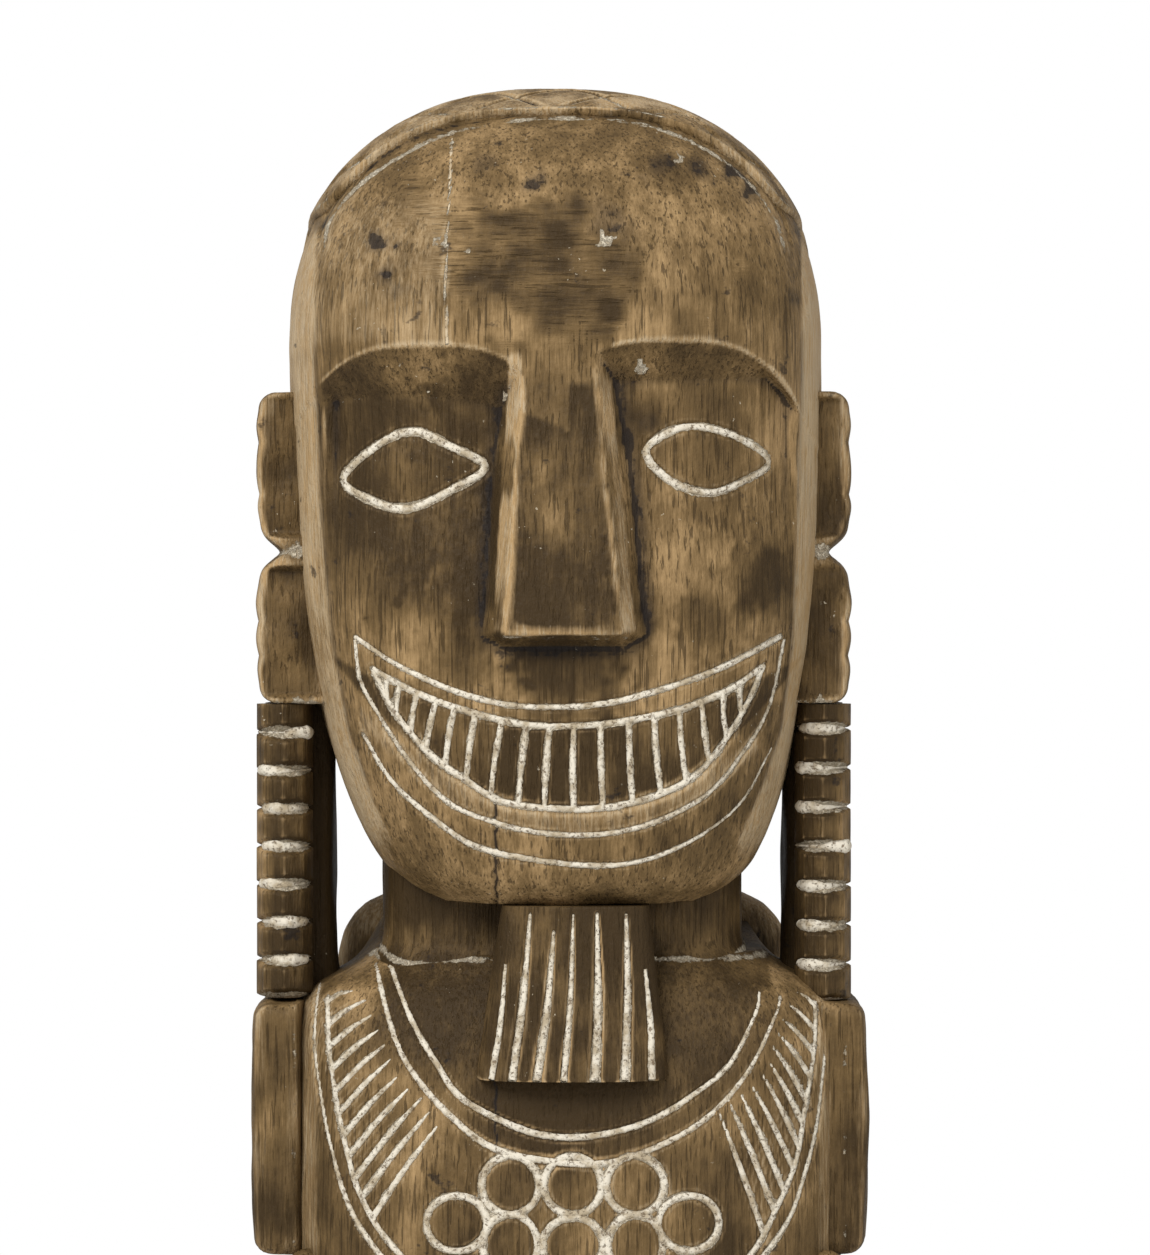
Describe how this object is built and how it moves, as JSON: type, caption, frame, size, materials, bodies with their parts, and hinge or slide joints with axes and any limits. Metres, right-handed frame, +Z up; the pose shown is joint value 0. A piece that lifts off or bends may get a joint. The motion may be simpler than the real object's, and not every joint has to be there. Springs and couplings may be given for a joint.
{
  "type": "carved ancestor figure",
  "caption": "Standing carved wooden ancestor figure with a capped egg-shaped head, wide toothed grin, slab nose, notched ear pendants, ribbed beard and lime-filled collar.",
  "frame": {"origin": "centre of the round base's underside, on the surface that the figure stands on", "axes": "+Z up along the figure, -Y the way the face looks, so the figure's own left is +X"},
  "size_m": [0.256, 0.256, 1],
  "materials": {
    "stained_wood": "satin",
    "worn_wood": "satin",
    "dark_wood": "matte",
    "lime": "matte",
    "putty": "matte"
  },
  "bodies": {
    "root": {"base": "dark_wood", "beard": "stained_wood", "beard_lime_1": "lime", "beard_lime_2": "lime", "beard_lime_3": "lime", "beard_lime_4": "lime", "beard_lime_5": "lime", "beard_lime_6": "lime", "beard_lime_7": "lime", "breast_rings": "lime", "chin_line": "lime", "forehead_check_filler": "putty", "head": "worn_wood", "left_arm": "stained_wood", "left_collar_edge_line": "lime", "left_collar_fringe": "lime", "left_ear": "stained_wood", "left_ear_pendant": "stained_wood", "left_eye_line": "lime", "left_foot": "worn_wood", "left_leg": "stained_wood", "left_pendant_lime_1": "lime", "left_pendant_lime_2": "lime", "left_pendant_lime_3": "lime", "left_pendant_lime_4": "lime", "left_pendant_lime_5": "lime", "left_pendant_lime_6": "lime", "left_pendant_lime_7": "lime", "left_pendant_web": "dark_wood", "lip_line": "lime", "loincloth": "stained_wood", "neck": "stained_wood", "necklace_inner_line": "lime", "necklace_outer_line": "lime", "right_arm": "stained_wood", "right_collar_edge_line": "lime", "right_collar_fringe": "lime", "right_ear": "stained_wood", "right_ear_pendant": "stained_wood", "right_eye_line": "lime", "right_foot": "worn_wood", "right_leg": "stained_wood", "right_pendant_lime_1": "lime", "right_pendant_lime_2": "lime", "right_pendant_lime_3": "lime", "right_pendant_lime_4": "lime", "right_pendant_lime_5": "lime", "right_pendant_lime_6": "lime", "right_pendant_lime_7": "lime", "right_pendant_web": "dark_wood", "skull_cap": "dark_wood", "teeth_lines": "lime", "torso": "stained_wood"}
  },
  "joints": []
}
